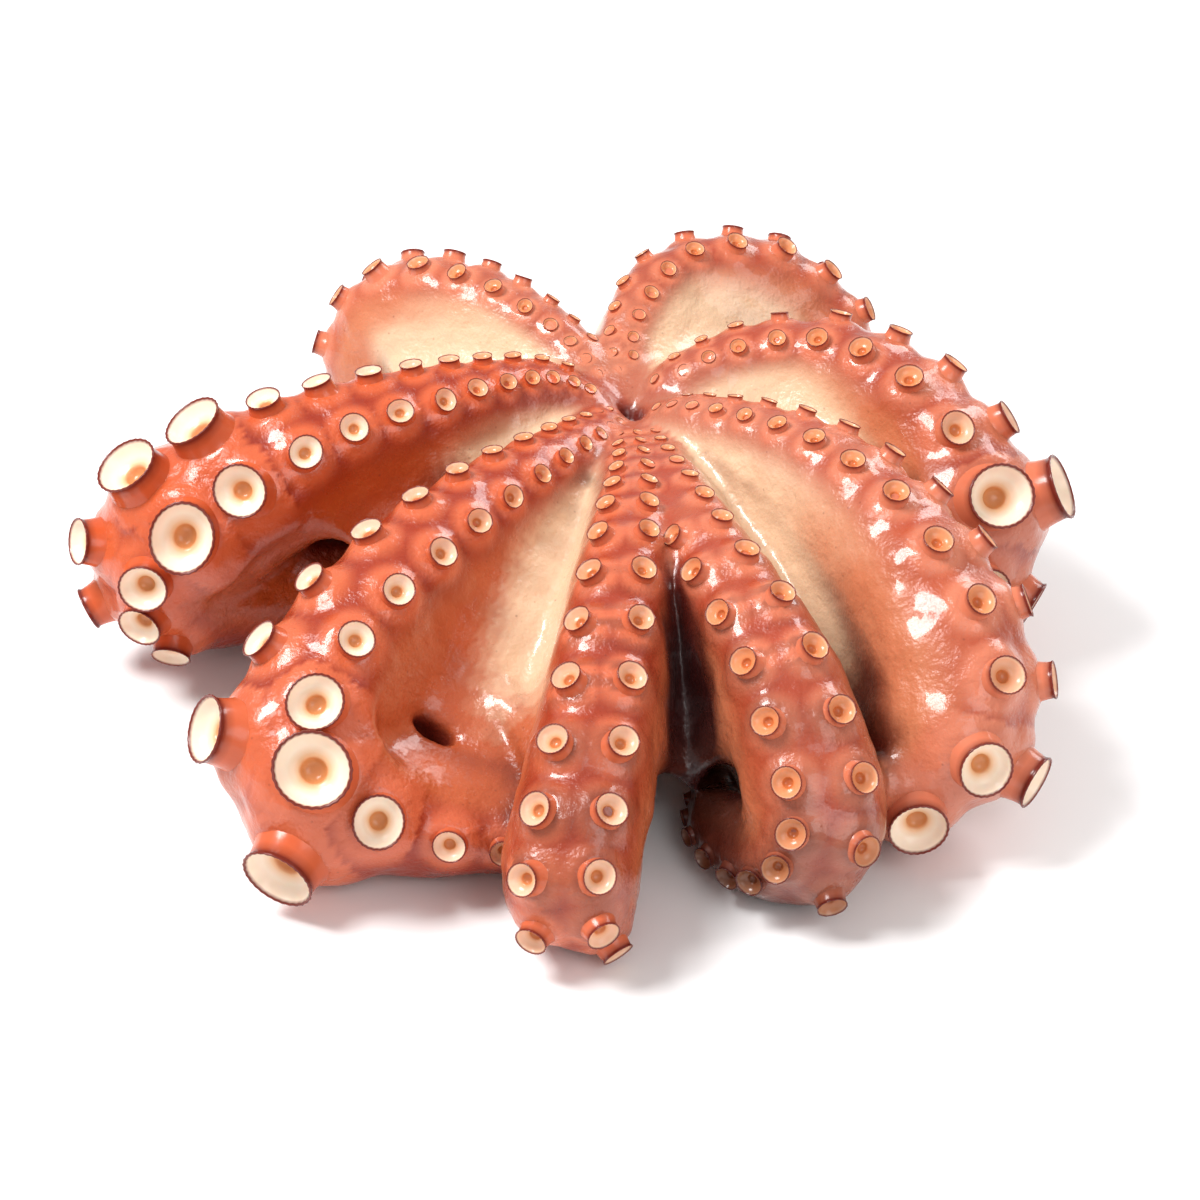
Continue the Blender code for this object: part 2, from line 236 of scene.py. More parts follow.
# %% Arms as curves, webs as sheets
# each web: its two arms, how far it reaches along each, how deep it hangs, where across it hangs
# lowest, how far its edge is cut back, where it is cream (out to, middle, half width), how dark, which is
# dark skin with painted shade
WEBS = (
    ("left", "front_left", 0.42, 0.42, 26.0, 0.5, 0.04, (0.62, 0.30, 0.34), 0.0),
    ("front_left", "front", 0.66, 0.58, 34.0, 0.66, 0.0, (0.80, 0.78, 0.46), 0.0),
    ("front", "front_right", 0.60, 0.60, 26.0, 0.5, 0.04, (0.10, 0.5, 0.5), 1.0),
    ("front_right", "right_front", 0.56, 0.60, 38.0, 0.5, 0.04, (0.92, 0.55, 0.55), 0.1),
    ("right_front", "right", 0.52, 0.54, 28.0, 0.5, 0.08, (0.98, 0.5, 0.5), 0.2),
    ("right", "back_right", 0.48, 0.50, 28.0, 0.5, 0.12, (1.1, 0.5, 0.7), 0.2),
    ("back_right", "back_left", 0.34, 0.34, 24.0, 0.5, 0.30, (1.1, 0.5, 0.7), 0.2),
    ("back_left", "left", 0.52, 0.46, 32.0, 0.5, 0.10, (1.1, 0.5, 0.7), 0.0),
)
WEB_THICK = 5.0
MANTLE_AT = np.array([12.0, 32.0, 20.0])
MANTLE_RADII = (76.0, 70.0, 38.0)
# folds of skin that stand proud where a web gathers, and their thickness
FOLDS = (
    (((-52, -40, 46), (-34, -46, 41), (-22, -58, 37), (-12, -72, 35), (-4, -90, 32)), 4.5),
    (((-40, -50, 34), (-30, -66, 29), (-22, -80, 26), (-16, -92, 22)), 4.0),
)


def round_tube(name, points, radii, forward):
    """A round tube through points with a radius at each, and a domed end."""
    curve = bpy.data.curves.new(name, "CURVE")
    curve.dimensions = "3D"
    curve.bevel_depth = MM
    curve.bevel_resolution = 6
    curve.use_fill_caps = True
    spline = curve.splines.new("POLY")
    tip, radius = points[-1], radii[-1]
    dome = [(tip + forward * radius * math.sin(a), radius * math.cos(a)) for a in (0.5, 1.0, 1.4)]
    knots = list(zip(points, radii)) + dome
    spline.points.add(len(knots) - 1)
    for knot, (place, size) in zip(spline.points, knots):
        knot.co = (*(place * MM), 1.0)
        knot.radius = float(size)
    made = bpy.data.objects.new(name, curve)
    bpy.context.scene.collection.objects.link(made)
    return made


def arm_tube(name, arm):
    return round_tube(name, arm["points"], arm["radii"], arm["forward"][-1])


def fold_tube(places, radius):
    stations = np.column_stack([np.array(places) + SHIFT, np.full(len(places), radius)])
    line, _ = smooth_line(stations, STEP)
    forward = line[-1, :3] - line[-2, :3]
    return round_tube("fold", line[:, :3], line[:, 3], forward / np.linalg.norm(forward))


def web_place(web, out, across):
    first, second, reach_a, reach_b, depth, valley, cut_back = web[:7]
    out = out * (1.0 - cut_back * 4.0 * across * (1.0 - across))
    a = at(arms[first], "points", out * reach_a * arms[first]["along"][-1])
    b = at(arms[second], "points", out * reach_b * arms[second]["along"][-1])
    side = across / valley if across < valley else (1.0 - across) / (1.0 - valley)
    sag = depth * out ** 1.3 * side ** 1.2
    return a + (b - a) * across - np.array([0.0, 0.0, sag])


def web_sheet(web, rows=20, columns=16):
    shape = bmesh.new()
    lattice = [[shape.verts.new(Vector(web_place(web, i / rows, j / columns) * MM))
                for j in range(columns + 1)] for i in range(rows + 1)]
    for low, high in zip(lattice, lattice[1:]):
        for j in range(columns):
            shape.faces.new((low[j], low[j + 1], high[j + 1], high[j]))
    bmesh.ops.recalc_face_normals(shape, faces=shape.faces)
    mesh = bpy.data.meshes.new("web")
    shape.to_mesh(mesh)
    shape.free()
    sheet = bpy.data.objects.new("web", mesh)
    bpy.context.scene.collection.objects.link(sheet)
    thick = sheet.modifiers.new("thickness", "SOLIDIFY")
    thick.thickness = WEB_THICK * MM
    thick.offset = 0.0
    return sheet


def mantle():
    bpy.ops.mesh.primitive_uv_sphere_add(segments=64, ring_count=32, radius=MM)
    bag = bpy.context.object
    bag.scale = MANTLE_RADII
    bag.location = Vector(MANTLE_AT + SHIFT) * MM
    return bag


def stalk_stubs(suckers):
    """A short cone under each sucker, from inside the arm up to its cup."""
    shape = bmesh.new()
    for sucker in suckers:
        radius, facing = sucker["wide"] / 2, Vector(sucker["facing"])
        bottom, top = -5.0, 0.36 * STALK * sucker["wide"]
        turn = facing.to_track_quat("Z", "Y").to_matrix().to_4x4()
        middle = Vector(sucker["foot"]) + facing * (top + bottom) / 2
        bmesh.ops.create_cone(shape, cap_ends=True, segments=16, radius1=2.1 * radius * MM,
                              radius2=1.22 * radius * MM, depth=(top - bottom) * MM,
                              matrix=Matrix.Translation(middle * MM) @ turn)
    mesh = bpy.data.meshes.new("stalks")
    shape.to_mesh(mesh)
    shape.free()
    stubs = bpy.data.objects.new("stalks", mesh)
    bpy.context.scene.collection.objects.link(stubs)
    return stubs


def cup_hollows(suckers):
    """A short cone inside each sucker, to be taken out of the flesh below its cup."""
    shape = bmesh.new()
    for sucker in suckers:
        radius, tall, facing = sucker["wide"] / 2, STALK * sucker["wide"], Vector(sucker["facing"])
        turn = facing.to_track_quat("Z", "Y").to_matrix().to_4x4()
        middle = Vector(sucker["foot"]) + facing * 0.45 * tall
        bmesh.ops.create_cone(shape, cap_ends=True, segments=16, radius1=0.5 * radius * MM,
                              radius2=0.86 * radius * MM, depth=0.5 * tall * MM,
                              matrix=Matrix.Translation(middle * MM) @ turn)
    mesh = bpy.data.meshes.new("hollows")
    shape.to_mesh(mesh)
    shape.free()
    hollows = bpy.data.objects.new("hollows", mesh)
    bpy.context.scene.collection.objects.link(hollows)
    return hollows


tubes = [arm_tube(name, arm) for name, arm in arms.items()]
sheets = [web_sheet(web) for web in WEBS]
bag = mantle()
stubs = stalk_stubs(suckers)
hollows = cup_hollows(suckers)
print(len(tubes), "tubes,", len(sheets), "sheets, a mantle and", len(suckers), "stalks")

# %% [markdown]
# ## Melt the shapes into one skin
# A distance field holds, at every point of a grid, how far the nearest surface is, with a minus
# inside. Taking the smaller of two fields joins two shapes with a sharp crease. A smooth minimum
# rounds that crease by a chosen amount, which is what flesh does: small between neighbouring
# arms, large where a web leaves an arm. OpenVDB, which ships with Blender, fills the fields.

# %% Fields of distance
VOXEL = 1.86 * MM
BAND = 8.0
LOW = np.array([-90, -85, -5])
SIZE = np.array([180, 170, 60])
lattice_transform = openvdb.createLinearTransform(voxelSize=VOXEL)


def field_of(item):
    """Distance to an object's surface at every grid point, cut off at BAND voxels."""
    bpy.context.view_layer.update()
    seen = item.evaluated_get(bpy.context.evaluated_depsgraph_get())
    mesh = bpy.data.meshes.new_from_object(seen)
    mesh.transform(item.matrix_world)
    mesh.calc_loop_triangles()
    points = np.empty(3 * len(mesh.vertices), dtype=np.float32)
    corners = np.empty(3 * len(mesh.loop_triangles), dtype=np.int32)
    mesh.vertices.foreach_get("co", points)
    mesh.loop_triangles.foreach_get("vertices", corners)
    level = openvdb.FloatGrid.createLevelSetFromPolygons(
        points.reshape(-1, 3).astype(np.float64), triangles=corners.reshape(-1, 3).astype(np.uint32),
        transform=lattice_transform, halfWidth=BAND)
    values = np.full(SIZE, BAND * VOXEL, dtype=np.float32)
    level.copyToArray(values, ijk=tuple(int(k) for k in LOW))
    bpy.data.meshes.remove(mesh)
    bpy.data.objects.remove(item, do_unlink=True)
    return values


def melt(a, b, soft):
    """The smaller of two fields, with their crease rounded over `soft` metres."""
    near = np.maximum(soft - np.abs(a - b), 0.0) / soft
    return np.minimum(a, b) - near * near * soft / 4.0


flesh = field_of(tubes[0])
for tube in tubes[1:]:
    flesh = melt(flesh, field_of(tube), 3.0 * MM)
webs = field_of(sheets[0])
for sheet in sheets[1:]:
    webs = melt(webs, field_of(sheet), 3.0 * MM)
body = melt(webs, field_of(bag), 8.0 * MM)
flesh = melt(flesh, body, 13.0 * MM)
for places, radius in FOLDS:
    flesh = melt(flesh, field_of(fold_tube(places, radius)), 5.0 * MM)
flesh = melt(flesh, field_of(stubs), 6.0 * MM)
print("field of", flesh.size, "points,", int((flesh < 0).sum()), "inside")

# %% [markdown]
# ## Mouth and ground
# The mouth is a small puckered pit, so its shape is taken away from the field. Taking the larger
# of a field and another's opposite cuts one out of the other, and the same rounding softens the
# lip. A mound with a crease in it gathers the front left web, and the ground cuts the underside.
# One round of averaging takes away the steps that thin sheets leave in the grid.

# %% Cut the mouth and the ground
MOUTH_PIT = dict(at=(20.0, 53.0, 66.0), radii=(2.6, 6.0, 11.0), turn=20.0)
FOLD_MOUND = dict(at=(-38.0, -64.0, 14.0), radii=(30.0, 22.0, 20.0), turn=-20.0)
FOLD_PIT = dict(at=(-40.0, -73.0, 31.0), radii=(9.0, 2.4, 6.0), turn=-25.0)
GROUND = 0.4


def carve(a, b, soft):
    return -melt(-a, b, soft)


def soften(values):
    """Each point becomes the average of itself and its neighbours, one axis at a time."""
    for axis in range(3):
        values = (np.roll(values, 1, axis) + 2.0 * values + np.roll(values, -1, axis)) / 4.0
    return values


def ball_field(at, radii, turn):
    """The field of a stretched ball, turned about the upright axis."""
    axes = [(np.arange(count) + start) * VOXEL / MM - middle
            for count, start, middle in zip(SIZE, LOW, np.array(at) + SHIFT)]
    x, y, z = np.meshgrid(*axes, indexing="ij", sparse=True)
    c, s = math.cos(math.radians(turn)), math.sin(math.radians(turn))
    along = (x * c + y * s) / radii[0]
    across = (y * c - x * s) / radii[1]
    away = (np.sqrt(along ** 2 + across ** 2 + (z / radii[2]) ** 2) - 1.0) * min(radii) * MM
    return away.astype(np.float32)


flesh = carve(flesh, ball_field(**MOUTH_PIT), 3.0 * MM)
flesh = melt(flesh, ball_field(**FOLD_MOUND), 10.0 * MM)
flesh = carve(flesh, ball_field(**FOLD_PIT), 4.0 * MM)
flesh = soften(flesh)
flesh = carve(flesh, field_of(hollows), 0.4 * MM)
heights = (np.arange(SIZE[2]) + LOW[2]) * VOXEL
flesh = np.maximum(flesh, (GROUND * MM - heights).astype(np.float32)[None, None, :])
print("a mouth pit, a fold pit and a flat underside")

# %% [markdown]
# ## From field to mesh
# OpenVDB draws the surface where the field is zero as a net of quads. Small shells inside are
# sealed pockets, and they are dropped. A little smoothing takes the grid's steps away.

# %% Draw the skin
# how far the broad and the fine lumps move the skin, mm, and how many of each fit in a metre
LUMP = (1.0, 0.35)
LUMPS_PER_METRE = (75.0, 210.0)
FLOOR_GAP = 0.3


def keep_outer_shell(mesh):
    shape = bmesh.new()
    shape.from_mesh(mesh)
    unseen = set(shape.verts)
    shells = []
    while unseen:
        edge = [unseen.pop()]
        shell = set(edge)
        while edge:
            near = {link.other_vert(vert) for vert in edge for link in vert.link_edges}
            edge = list(near & unseen)
            unseen -= near
            shell |= near
        shells.append(shell)
    outer = max(shells, key=len)
    bmesh.ops.delete(shape, geom=[vert for vert in shape.verts if vert not in outer], context="VERTS")
    bmesh.ops.recalc_face_normals(shape, faces=shape.faces)
    shape.to_mesh(mesh)
    shape.free()


def relax(mesh, rounds, amount):
    """Moves each point part of the way to the middle of its neighbours."""
    count = len(mesh.vertices)
    places = np.empty(3 * count, dtype=np.float32)
    mesh.vertices.foreach_get("co", places)
    places = places.reshape(-1, 3).astype(np.float64)
    ends = np.empty(2 * len(mesh.edges), dtype=np.int32)
    mesh.edges.foreach_get("vertices", ends)
    first, second = ends.reshape(-1, 2).T
    links = np.bincount(first, minlength=count) + np.bincount(second, minlength=count)
    for _ in range(rounds):
        middle = np.stack([np.bincount(first, places[second, k], count)
                           + np.bincount(second, places[first, k], count)
                           for k in range(3)], axis=1) / links[:, None]
        places += amount * (middle - places)
    mesh.vertices.foreach_set("co", places.astype(np.float32).ravel())
    mesh.update()


def roughen(mesh):
    """Pushes each point out or in by a soft noise, so that the flesh isn't even."""
    moved = []
    for vert in mesh.vertices:
        lumps = sum(noise.noise(vert.co * fine) * high for fine, high in zip(LUMPS_PER_METRE, LUMP))
        moved.append(vert.co + vert.normal * lumps * MM)
    moved = np.array(moved, dtype=np.float32)
    moved[:, 2] = np.maximum(moved[:, 2], FLOOR_GAP * MM)
    mesh.vertices.foreach_set("co", moved.ravel())
    mesh.update()


grid = openvdb.FloatGrid(BAND * VOXEL)
grid.transform = lattice_transform
grid.copyFromArray(flesh, ijk=tuple(int(k) for k in LOW))
grid.gridClass = "level set"
net_points, net_quads = grid.convertToQuads()
skin_mesh = bpy.data.meshes.new("skin")
skin_mesh.from_pydata(net_points.tolist(), [], net_quads.tolist())
keep_outer_shell(skin_mesh)
relax(skin_mesh, 3, 0.5)
roughen(skin_mesh)
skin_mesh.shade_smooth()
skin = bpy.data.objects.new("skin", skin_mesh)
bpy.context.scene.collection.objects.link(skin)
print("skin:", len(skin_mesh.vertices), "points,", len(skin_mesh.polygons), "quads")

# %% [markdown]
# ## Measure the skin for its colours
# The finish changes with the place: brick red between the suckers, peach on the flanks, cream on
# the webs, and painted shade in maroon in the deep folds and creases. So each point stores a few numbers from
# 0 to 1
# that the material can read: how far it faces the sucker side, how cream its web is, how near a sucker is,
# how deep in a fold it lies, which sets only painted shade, and how warm its arm's colour is. Arms share
# their warmth where they meet, so no border shows. The tip that curls under the front right arm is darker
# than the others, partly its own darker skin and partly painted shade, as it lies in the shadow of its arch.

# %% Numbers stored on every point
# how dark each arm's tip goes: dark skin and painted shade, most where the front right tip lies in shadow
# under its arch
TIP_DARK_AND_SHADE = {"front_right": 1.0}
TIP_FROM = {"front_right": 0.70}


def point_array(mesh, what):
    values = np.empty(3 * len(mesh.vertices), dtype=np.float32)
    mesh.vertices.foreach_get(what, values)
    return values.reshape(-1, 3).astype(np.float64)


def store(mesh, name, values):
    layer = mesh.attributes.new(name, "FLOAT", "POINT")
    layer.data.foreach_set("value", np.asarray(values, dtype=np.float32))


def ramp(values, low, high):
    """0 below `low`, 1 above `high`, smooth between; low may be above high."""
    t = np.clip((values - low) / (high - low), 0.0, 1.0)
    return t * t * (3.0 - 2.0 * t)


def blur(values, reach):
    """The average over a cube `reach` points each way, done one axis at a time."""
    for axis in range(3):
        pad = [(0, 0)] * 3
        pad[axis] = (reach + 1, reach)
        total = np.cumsum(np.pad(values, pad, mode="edge"), axis=axis, dtype=np.float64)
        upper = np.take(total, range(2 * reach + 1, total.shape[axis]), axis=axis)
        lower = np.take(total, range(0, total.shape[axis] - 2 * reach - 1), axis=axis)
        values = (upper - lower) / (2 * reach + 1)
    return values


def read_grid(values, places):
    """The value of a grid at places in mm, blended between the eight points around each."""
    spot = places * MM / VOXEL - LOW
    spot = np.clip(spot, 0.0, SIZE - 1.001)
    base = spot.astype(int)
    part = spot - base
    total = 0.0
    for corner in range(8):
        step = np.array([corner & 1, corner >> 1 & 1, corner >> 2 & 1])
        weight = np.prod(np.where(step, part, 1.0 - part), axis=1)
        total = total + weight * values[tuple((base + step).T)]
    return total


places = point_array(skin_mesh, "co") / MM
skin_normals = np.empty(3 * len(skin_mesh.vertices), dtype=np.float32)
skin_mesh.vertex_normals.foreach_get("vector", skin_normals)
skin_normals = skin_normals.reshape(-1, 3).astype(np.float64)

line_points = np.vstack([arm["points"] for arm in arms.values()])
line_radii = np.concatenate([arm["radii"] for arm in arms.values()])
line_facing = np.vstack([arm["facing"] for arm in arms.values()])
line_share = np.concatenate([arm["along"] / arm["along"][-1] for arm in arms.values()])

arm_starts = np.cumsum([0] + [len(arm["points"]) for arm in arms.values()])[:-1]
arm_warmth = np.array([arm["warmth"] for arm in arms.values()])
arm_dark_and_shade = np.array([TIP_DARK_AND_SHADE.get(name, 0.35) for name in arms])
line_arm = np.concatenate([np.full(len(arm["points"]), k) for k, arm in enumerate(arms.values())])

nearest = np.empty(len(places), dtype=int)
gap = np.empty(len(places))
warm = np.empty(len(places))
for start in range(0, len(places), 4000):
    block = slice(start, start + 4000)
    away = np.linalg.norm(places[block, None] - line_points[None], axis=2) - line_radii
    nearest[block] = away.argmin(axis=1)
    gap[block] = away.min(axis=1)
    pull = np.exp(-np.minimum.reduceat(away, arm_starts, axis=1) / 5.0)
    warm[block] = (pull * arm_warmth).sum(axis=1) / pull.sum(axis=1)
outward = places - line_points[nearest]
outward /= np.linalg.norm(outward, axis=1)[:, None]
faces_out = (outward * line_facing[nearest]).sum(axis=1)
share = line_share[nearest]

sucker_tree = kdtree.KDTree(len(suckers))
for index, sucker in enumerate(suckers):
    sucker_tree.insert(Vector(sucker["foot"]), index)
sucker_tree.balance()
near_sucker = np.empty(len(places))
for index, place in enumerate(places):
    _, which, distance = sucker_tree.find(Vector(place))
    near_sucker[index] = distance / (0.5 * suckers[which]["wide"])

# how shut in by flesh each point is, read a little off the surface; this sets the painted shade in folds and
# creases
solid = (flesh < 0).astype(np.float32)
hollow_near = read_grid(blur(solid, 3), places + skin_normals * 4.0)
hollow_wide = read_grid(blur(blur(solid, 7), 3), places + skin_normals * 9.0)

def web_numbers(web, out, across):
    """How cream a place on a web is, and how dark, partly dark skin and partly painted shade."""
    limit, middle, half = web[7]
    wide = half * (1.2 - 0.8 * out) if limit < 1.0 else half
    cream = ramp(out, limit + 0.10, limit - 0.10) * ramp(abs(across - middle), wide + 0.12, wide - 0.10)
    return cream, web[8] * ramp(out, 0.50, 0.85)


FINE = 24
web_tree = kdtree.KDTree(len(WEBS) * (FINE + 1) ** 2)
web_values = []
for web in WEBS:
    for i in range(FINE + 1):
        for j in range(FINE + 1):
            web_tree.insert(Vector(web_place(web, i / FINE, j / FINE)), len(web_values))
            web_values.append(web_numbers(web, i / FINE, j / FINE))
web_tree.balance()
found = [web_tree.find(Vector(place)) for place in places]
cream, tone = np.array([web_values[which] for _, which, _ in found]).T
web_near = ramp(np.array([distance for _, _, distance in found]), 15.0, 7.0)
tip_from = np.array([TIP_FROM.get(name, 0.80) for name in arms])[line_arm[nearest]]
tip = arm_dark_and_shade[line_arm[nearest]] * ramp(share - tip_from, 0.0, 0.10)

store(skin_mesh, "web", ramp(gap, -1.0, 6.0))
store(skin_mesh, "cream", cream * web_near * ramp(gap, -1.0, 3.0) * (1.0 - 0.8 * ramp(faces_out, 0.1, 0.6)))
store(skin_mesh, "tip", tip)
store(skin_mesh, "warm", warm)
store(skin_mesh, "tone", tone)
store(skin_mesh, "oral", ramp(faces_out, 0.15, 0.85))
store(skin_mesh, "share", share + (1.0 - share) * ramp(gap, 4.0, 12.0) * (1.0 - web_near))
store(skin_mesh, "stalk", ramp(near_sucker, 2.4, 1.35))
# the next two are painted shade: darker where nearby flesh shuts a point in
store(skin_mesh, "fold", ramp(hollow_near, 0.30, 0.54))
store(skin_mesh, "deep", ramp(hollow_wide, 0.30, 0.58))
store(skin_mesh, "under", ramp(-faces_out, 0.2, 0.9) * ramp(gap, 6.0, 1.0))
for name in ("web", "cream", "warm", "oral", "stalk", "fold", "deep", "under"):
    data = np.empty(len(places), dtype=np.float32)
    skin_mesh.attributes[name].data.foreach_get("value", data)
    print(f"{name:6s} mean {data.mean():.2f}")

# %% [markdown]
# ## One sucker cup
# A sucker is turned, like a bowl: a flared wall, a thin lip, a smooth cup and a round pit in its
# floor. A list of radius and height against the sucker's own size is its profile, and each
# sucker repeats it around its own axis. The lip has a fine fringe, which is a ripple of its
# radius. For the material, `ring` says how far along the profile a point is, `big` how white the
# inside is, and `warm` and `tip` how warm and how dark the arm is there, the dark partly its own skin and
# partly painted shade.

# %% Turn the cups
PROFILE = (
    (1.24, 0.08), (1.12, 0.24), (1.04, 0.42), (0.99, 0.62), (0.965, 0.80), (0.96, 0.88), (0.985, 0.945),
    (1.012, 0.985), (1.0, 1.012),
    (0.968, 1.015), (0.935, 0.985), (0.90, 0.93), (0.85, 0.84), (0.76, 0.73), (0.64, 0.645), (0.50, 0.59),
    (0.405, 0.57), (0.36, 0.55), (0.33, 0.50), (0.28, 0.42), (0.18, 0.37), (0.08, 0.355))
LIP = (6, 10)
CUP_TILT = 0.10
SMALL_SIDES, LARGE_SIDES = 20, 56


def cup_points(sucker, sides):
    """Rings of points for one cup, in mm, and the value of `ring` for each."""
    radius, facing = sucker["wide"] / 2, Vector(sucker["facing"])
    facing = (facing + Vector(noise.random_unit_vector()) * CUP_TILT).normalized()
    turn = np.array(facing.to_track_quat("Z", "Y").to_matrix())
    tall = STALK * sucker["wide"]
    squash = 1.0 + 0.05 * noise.noise(Vector(sucker["rim"]) * 0.3)
    angles = np.linspace(0.0, 2.0 * math.pi, sides, endpoint=False)
    rings, values = [], []
    for index, (r, h) in enumerate(PROFILE):
        lip = LIP[0] <= index <= LIP[1]
        fringe = 1.0 + (0.012 * np.cos(angles * sides / 2) if lip else 0.0)
        wave = 1.0 + 0.03 * np.cos(2.0 * angles + sucker["share"] * 40.0)
        x = radius * r * fringe * wave * squash * np.cos(angles)
        y = radius * r * fringe * wave / squash * np.sin(angles)
        z = np.full(sides, h * tall)
        rings.append(np.column_stack([x, y, z]) @ turn.T + sucker["foot"])
        values.append(np.full(sides, index / (len(PROFILE) - 1)))
    return np.vstack(rings), np.concatenate(values)


def cup_mesh(name, chosen, sides):
    """One mesh of many cups, with the numbers that the material reads on every point."""
    points, faces, ring, big, warm, tip = [], [], [], [], [], []
    noise.seed_set(7)
    for sucker in chosen:
        start = sum(len(block) for block in points)
        block, values = cup_points(sucker, sides)
        points.append(np.vstack([block, block[-sides:].mean(axis=0)]))
        ring.append(np.append(values, 1.0))
        warmth = arms[sucker["arm"]]["warmth"]
        big.append(np.full(len(block) + 1, ramp(np.array(sucker["wide"] + 6.0 * (warmth - 0.5)), 8.0, 14.0)))
        past = sucker["share"] - TIP_FROM.get(sucker["arm"], 0.80)
        tip.append(np.full(len(block) + 1, TIP_DARK_AND_SHADE.get(sucker["arm"], 0.35) * ramp(past, 0.0, 0.10)))
        warm.append(np.full(len(block) + 1, warmth))
        for level in range(len(PROFILE) - 1):
            for k in range(sides):
                a, b = start + level * sides + k, start + level * sides + (k + 1) % sides
                faces.append((a, b, b + sides, a + sides))
        last = start + (len(PROFILE) - 1) * sides
        faces += [(last + k, last + (k + 1) % sides, last + sides) for k in range(sides)]
    mesh = bpy.data.meshes.new(name)
    mesh.from_pydata((np.vstack(points) * MM).tolist(), [], faces)
    store(mesh, "ring", np.concatenate(ring))
    store(mesh, "big", np.concatenate(big))
    store(mesh, "warm", np.concatenate(warm))
    store(mesh, "tip", np.concatenate(tip))
    mesh.shade_smooth()
    made = bpy.data.objects.new(name, mesh)
    bpy.context.scene.collection.objects.link(made)
    print(name, len(chosen), "cups,", len(faces), "faces")
    return made


WIDE = 9.0
small_cups = cup_mesh("small_suckers", [s for s in suckers if s["wide"] < WIDE], SMALL_SIDES)
large_cups = cup_mesh("large_suckers", [s for s in suckers if s["wide"] >= WIDE], LARGE_SIDES)

# %% [markdown]
# ## Shader maths in Python
# A material is a graph of small nodes. Written one node at a time it is long and hard to read, so
# one small class wraps a socket: adding or multiplying two of them adds the Math node. Every
# other node comes from `add`, which takes its type, its settings and what goes into its sockets.

# %% A wire that can do arithmetic
class Wire:
    def __init__(self, socket):
        self.socket = socket

    def maths(self, operation, *others):
        node = self.socket.id_data.nodes.new("ShaderNodeMath")
        node.operation = operation
        for slot, value in zip(node.inputs, (self, *others)):
            plug(slot, value)
        return Wire(node.outputs[0])

    def __add__(self, other):
        return self.maths("ADD", other)

    def __sub__(self, other):
        return self.maths("SUBTRACT", other)

    def __rsub__(self, other):
        return Wire.maths_of(self, "SUBTRACT", other)

    def __mul__(self, other):
        return self.maths("MULTIPLY", other)

    def maths_of(self, operation, first):
        """The same node with the number in front, for 1 - mask."""
        node = self.socket.id_data.nodes.new("ShaderNodeMath")
        node.operation = operation
        plug(node.inputs[0], first)
        plug(node.inputs[1], self)
        return Wire(node.outputs[0])

    def clamp(self):
        node = self.socket.id_data.nodes.new("ShaderNodeClamp")
        plug(node.inputs[0], self)
        return Wire(node.outputs[0])

    __radd__ = __add__
    __rmul__ = __mul__


def plug(slot, value):
    if isinstance(value, Wire):
        slot.id_data.links.new(value.socket, slot)
    else:
        slot.default_value = value


class Finish:
    """A material with one Principled shader, and the method that adds nodes to it."""

    def __init__(self, name, **uniform):
        self.material = bpy.data.materials.new(name)
        self.material.use_nodes = True
        self.tree = self.material.node_tree
        self.shader = self.tree.nodes["Principled BSDF"]
        for socket, value in uniform.items():
            self.shader.inputs[socket.replace("_", " ")].default_value = value

    def add(self, kind, settings=None, output=0, **sockets):
        node = self.tree.nodes.new("ShaderNode" + kind)
        for key, value in (settings or {}).items():
            if key == "stops":
                self.set_stops(node.color_ramp, value)
            else:
                setattr(node, key, value)
        for name, value in sockets.items():
            key = int(name[1:]) if name[0] == "n" and name[1:].isdigit() else name.replace("_", " ")
            plug(node.inputs[key], value)
        return Wire(node.outputs[output])

    @staticmethod
    def set_stops(color_ramp, stops):
        while len(color_ramp.elements) < len(stops):
            color_ramp.elements.new(0.5)
        for element, (position, colour) in zip(color_ramp.elements, stops):
            element.position = position
            element.color = colour

    def stored(self, name):
        return self.add("Attribute", {"attribute_name": name}, output=2)

    def mix(self, mask, low, high, blend="MIX"):
        return self.add("Mix", {"data_type": "RGBA", "blend_type": blend}, output=2, n0=mask, n6=low, n7=high)

    def noise(self, scale, detail=3.0, roughness=0.5):
        place = self.add("TexCoord", output=3)
        return self.add("TexNoise", Vector=place, Scale=scale, Detail=detail, Roughness=roughness)

    def set(self, name, wire):
        plug(self.shader.inputs[name], wire)


def paint(red, green, blue):
    """A colour as a painter names it, 0 to 255, turned into Blender's linear light."""
    linear = [value / 255 / 12.92 if value <= 10 else ((value / 255 + 0.055) / 1.055) ** 2.4
              for value in (red, green, blue)]
    return (*linear, 1.0)


print("brick red is", [round(value, 3) for value in paint(200, 96, 58)])

# %% [markdown]
# ## The skin's finish
# Cooked octopus skin is moist and slightly see-through. Its colour comes in layers: a peach ground,
# brick red between the suckers, a lighter pink where a mound rises that is partly its own colour and partly a
# painted highlight, cream over the webs, painted shade in maroon in the folds, dark skin with painted shade
# on the front web and the curled tip, and fine dark specks. A soft cloudy noise varies each border. The gloss
# is uneven, because the skin is wet in some places and tacky in others, and a faint bump gives it pores.

# %% Skin material
CREAM = paint(226, 190, 156)
FLANK_WARM, FLANK_PALE = paint(176, 72, 26), paint(204, 130, 94)
BRICK_WARM, BRICK_PALE = paint(146, 42, 16), paint(182, 80, 52)
# mound colours: pink stalk skin lightened by a painted highlight on the mound tops
MOUND_LIT_WARM, MOUND_LIT_PALE = paint(200, 90, 50), paint(214, 130, 100)
# maroon: the dark outer skin, and also the colour of the painted shade in folds and hollows
MAROON = paint(98, 26, 18)
# dark skin, also the colour of the painted shade on the front web and the curled tip
DARK_AND_SHADE = paint(52, 18, 18)
SPECK = paint(96, 32, 22)

